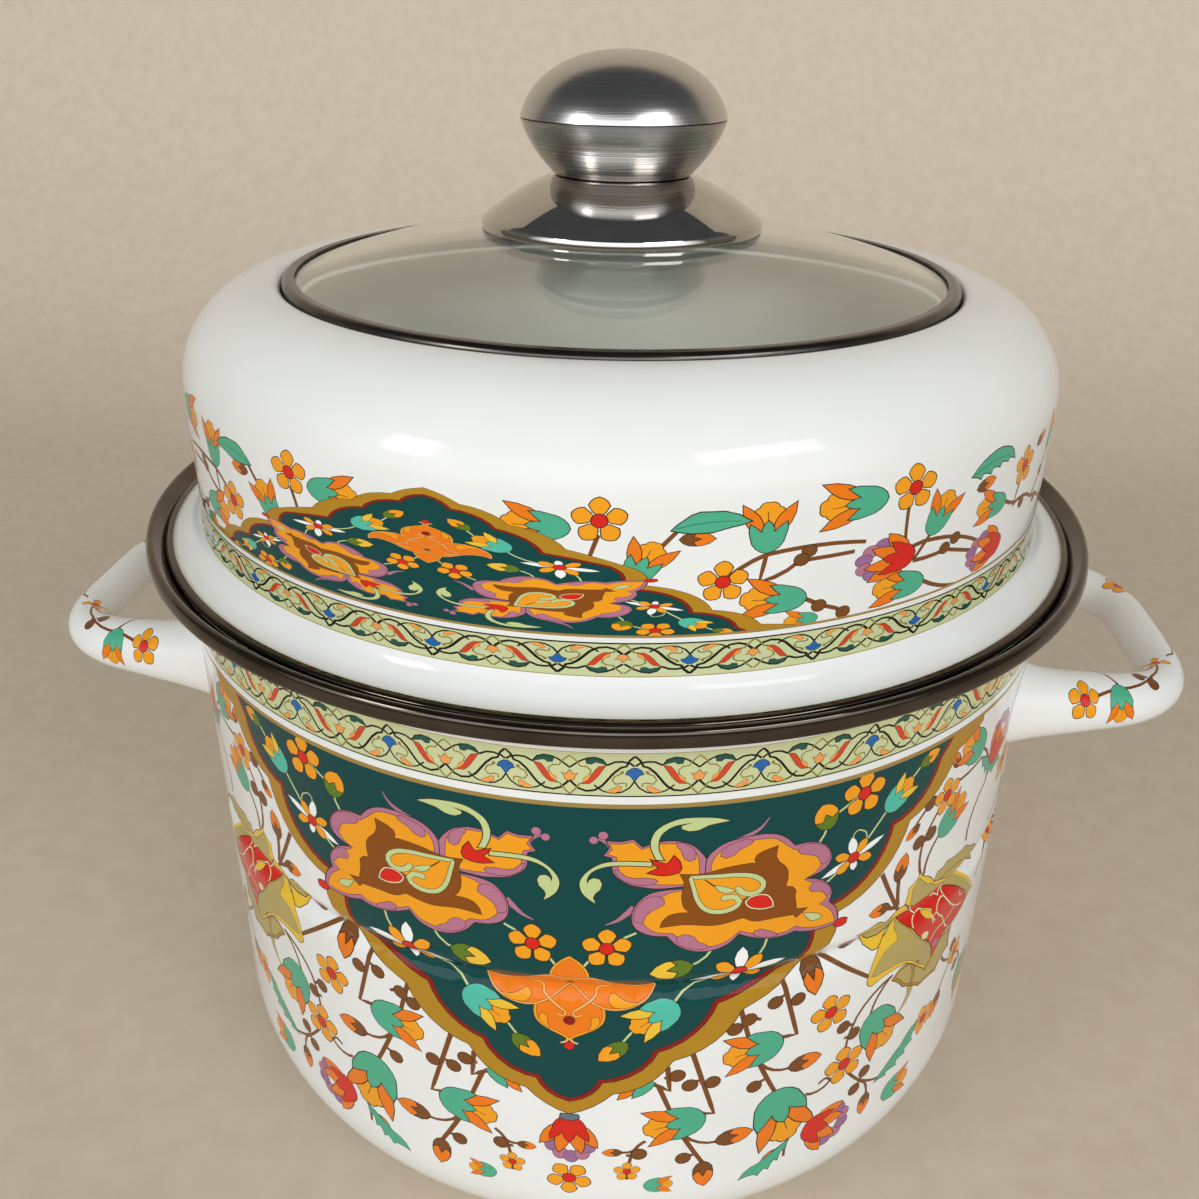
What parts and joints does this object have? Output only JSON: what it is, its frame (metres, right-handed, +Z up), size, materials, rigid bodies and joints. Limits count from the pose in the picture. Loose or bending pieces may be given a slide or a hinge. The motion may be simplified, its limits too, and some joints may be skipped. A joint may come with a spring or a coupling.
{
  "type": "enamel stew pot",
  "caption": "Deep enamelled steel stew pot with loop handles and a steel-clad rim, under a tall domed enamel lid with a glass window and a hollow steel knob.",
  "frame": {"origin": "middle of the base, on the surface that the pot stands on", "axes": "+Z up along the pot's axis, +X along the handles, the front with the large printed panel towards -Y"},
  "size_m": [0.3404, 0.2706, 0.3076],
  "materials": {
    "enamel": "glossy white vitreous enamel with a printed ornament",
    "rim_steel": "polished stainless steel",
    "knob_steel": "turned and polished stainless steel",
    "glass": "clear tempered glass with a green cast",
    "silicone": "matte food-grade silicone",
    "fastener_steel": "plain stainless steel"
  },
  "bodies": {
    "pot": {"pot_body": "enamel", "pot_rim_ring": "rim_steel", "left_handle": "enamel", "right_handle": "enamel"},
    "lid": {"lid_dome": "enamel", "lid_rim_ring": "rim_steel", "glass_seal": "silicone", "glass_panel": "glass", "glass_rim_ring": "rim_steel", "base_gasket": "silicone", "knob_base": "knob_steel", "knob_cup": "knob_steel", "knob_cap": "knob_steel", "glass_washer": "silicone", "screw_washer": "fastener_steel", "knob_screw": "fastener_steel", "knob_nut": "fastener_steel"}
  },
  "joints": [
    {"name": "lid_lift", "type": "slide", "parent": "pot", "child": "lid", "axis": [0, 0, 1], "range_m": [0, 0.16]}
  ]
}
